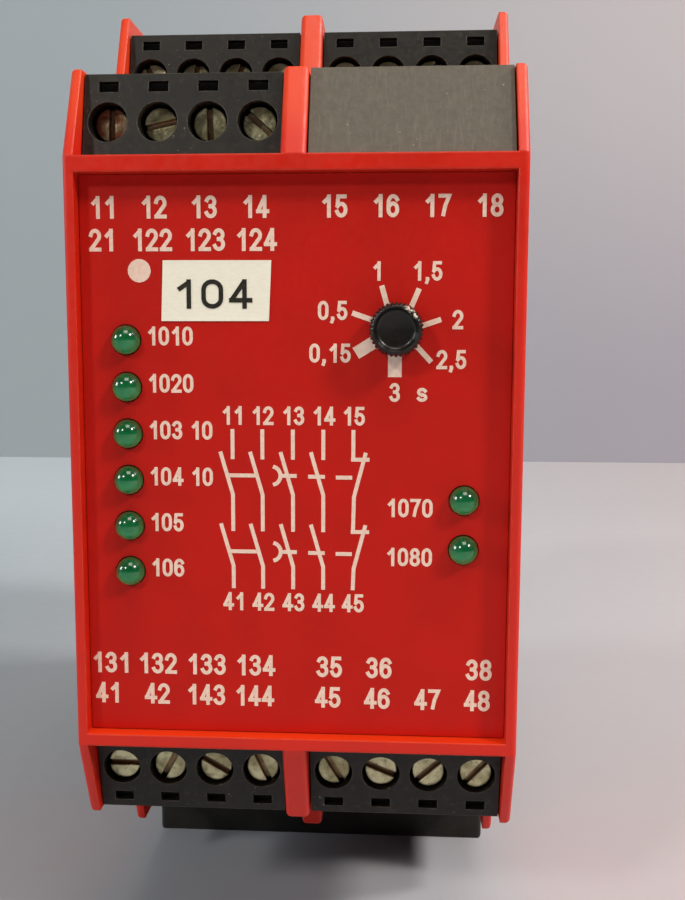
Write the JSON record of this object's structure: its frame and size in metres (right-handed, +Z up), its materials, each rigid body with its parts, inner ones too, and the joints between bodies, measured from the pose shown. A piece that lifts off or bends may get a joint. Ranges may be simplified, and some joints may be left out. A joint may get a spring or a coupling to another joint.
{
  "type": "safety relay",
  "caption": "Stepped plastic housing that clips to a mounting rail, with plug-in screw terminals at both ends, signal lamps, a time dial and a sprung rail latch",
  "frame": {"origin": "the middle of the footprint, on the face that the foot stands on", "axes": "+X to the right of the face as seen from the front, +Y from the face to the rail, +Z up"},
  "size_m": [0.045, 0.1152, 0.1063],
  "materials": {
    "hood_red": "moulded, lightly glossy",
    "label_red": "printed film, satin",
    "tag_paper": "matte",
    "base_black": "moulded, satin",
    "plug_black": "moulded, satin",
    "cover_grey": "moulded, fine grain",
    "dial_black": "glossy",
    "lamp_green": "tinted, clear and glossy",
    "screw_zinc": "zinc plated, dull",
    "clamp_nickel": "nickel plated",
    "pin_brass": "plain",
    "board_green": "solder resist",
    "pot_blue": "moulded",
    "relay_white": "moulded",
    "sheet_steel": "stacked sheets",
    "copper_wire": "enamelled wire",
    "can_blue": "sleeved can",
    "spring_steel": "plain"
  },
  "bodies": {
    "housing": {"front_housing": "hood_red", "face_label": "label_red", "paper_tag": "tag_paper", "base_housing": "base_black", "latch_spring": "spring_steel", "dial_potentiometer": "pot_blue", "blank_cover": "cover_grey", "lamp_1": "lamp_green", "lamp_2": "lamp_green", "lamp_3": "lamp_green", "lamp_4": "lamp_green", "lamp_5": "lamp_green", "lamp_6": "lamp_green", "lamp_7": "lamp_green", "lamp_8": "lamp_green", "socket_top_front_left": "plug_black", "socket_top_rear_left": "plug_black", "socket_top_rear_right": "plug_black", "socket_bottom_front_left": "plug_black", "socket_bottom_front_right": "plug_black", "socket_bottom_rear_left": "plug_black", "socket_bottom_rear_right": "plug_black", "socket_pins": "pin_brass", "left_board": "board_green", "right_board": "board_green", "front_board": "board_green", "board_links": "plug_black", "relay_module_1": "relay_white", "relay_module_2": "relay_white", "relay_module_3": "relay_white", "relay_module_4": "relay_white", "transformer_core": "sheet_steel", "transformer_coil": "copper_wire", "capacitor_1": "can_blue", "capacitor_2": "can_blue"},
    "dial": {"time_dial": "dial_black"},
    "latch": {"rail_latch": "base_black"},
    "plug_top_front_left_set": {"plug_top_front_left": "plug_black", "screws_top_front_left": "screw_zinc", "clamps_top_front_left": "clamp_nickel"},
    "plug_top_rear_left_set": {"plug_top_rear_left": "plug_black", "screws_top_rear_left": "screw_zinc", "clamps_top_rear_left": "clamp_nickel"},
    "plug_top_rear_right_set": {"plug_top_rear_right": "plug_black", "screws_top_rear_right": "screw_zinc", "clamps_top_rear_right": "clamp_nickel"},
    "plug_bottom_front_left_set": {"plug_bottom_front_left": "plug_black", "screws_bottom_front_left": "screw_zinc", "clamps_bottom_front_left": "clamp_nickel"},
    "plug_bottom_front_right_set": {"plug_bottom_front_right": "plug_black", "screws_bottom_front_right": "screw_zinc", "clamps_bottom_front_right": "clamp_nickel"},
    "plug_bottom_rear_left_set": {"plug_bottom_rear_left": "plug_black", "screws_bottom_rear_left": "screw_zinc", "clamps_bottom_rear_left": "clamp_nickel"},
    "plug_bottom_rear_right_set": {"plug_bottom_rear_right": "plug_black", "screws_bottom_rear_right": "screw_zinc", "clamps_bottom_rear_right": "clamp_nickel"}
  },
  "joints": [
    {"name": "top_front_left_pull", "type": "slide", "parent": "housing", "child": "plug_top_front_left_set", "axis": [0, -1, 0], "range_m": [0, 0.012]},
    {"name": "top_rear_left_pull", "type": "slide", "parent": "housing", "child": "plug_top_rear_left_set", "axis": [0, -1, 0], "range_m": [0, 0.012]},
    {"name": "top_rear_right_pull", "type": "slide", "parent": "housing", "child": "plug_top_rear_right_set", "axis": [0, -1, 0], "range_m": [0, 0.012]},
    {"name": "bottom_front_left_pull", "type": "slide", "parent": "housing", "child": "plug_bottom_front_left_set", "axis": [0, -1, 0], "range_m": [0, 0.012]},
    {"name": "bottom_front_right_pull", "type": "slide", "parent": "housing", "child": "plug_bottom_front_right_set", "axis": [0, -1, 0], "range_m": [0, 0.012]},
    {"name": "bottom_rear_left_pull", "type": "slide", "parent": "housing", "child": "plug_bottom_rear_left_set", "axis": [0, -1, 0], "range_m": [0, 0.012]},
    {"name": "bottom_rear_right_pull", "type": "slide", "parent": "housing", "child": "plug_bottom_rear_right_set", "axis": [0, -1, 0], "range_m": [0, 0.012]},
    {"name": "dial_turn", "type": "hinge", "parent": "housing", "child": "dial", "pos_m": [0.01, -0.05635, 0.0702], "axis": [0, 1, 0], "range_deg": [-300, 0]},
    {"name": "latch_pull", "type": "slide", "parent": "housing", "child": "latch", "axis": [0, 0, -1], "range_m": [0, 0.0035], "stiffness_N_per_m": 3000, "springref_m": -0.002, "deforming": ["latch_spring"]}
  ]
}
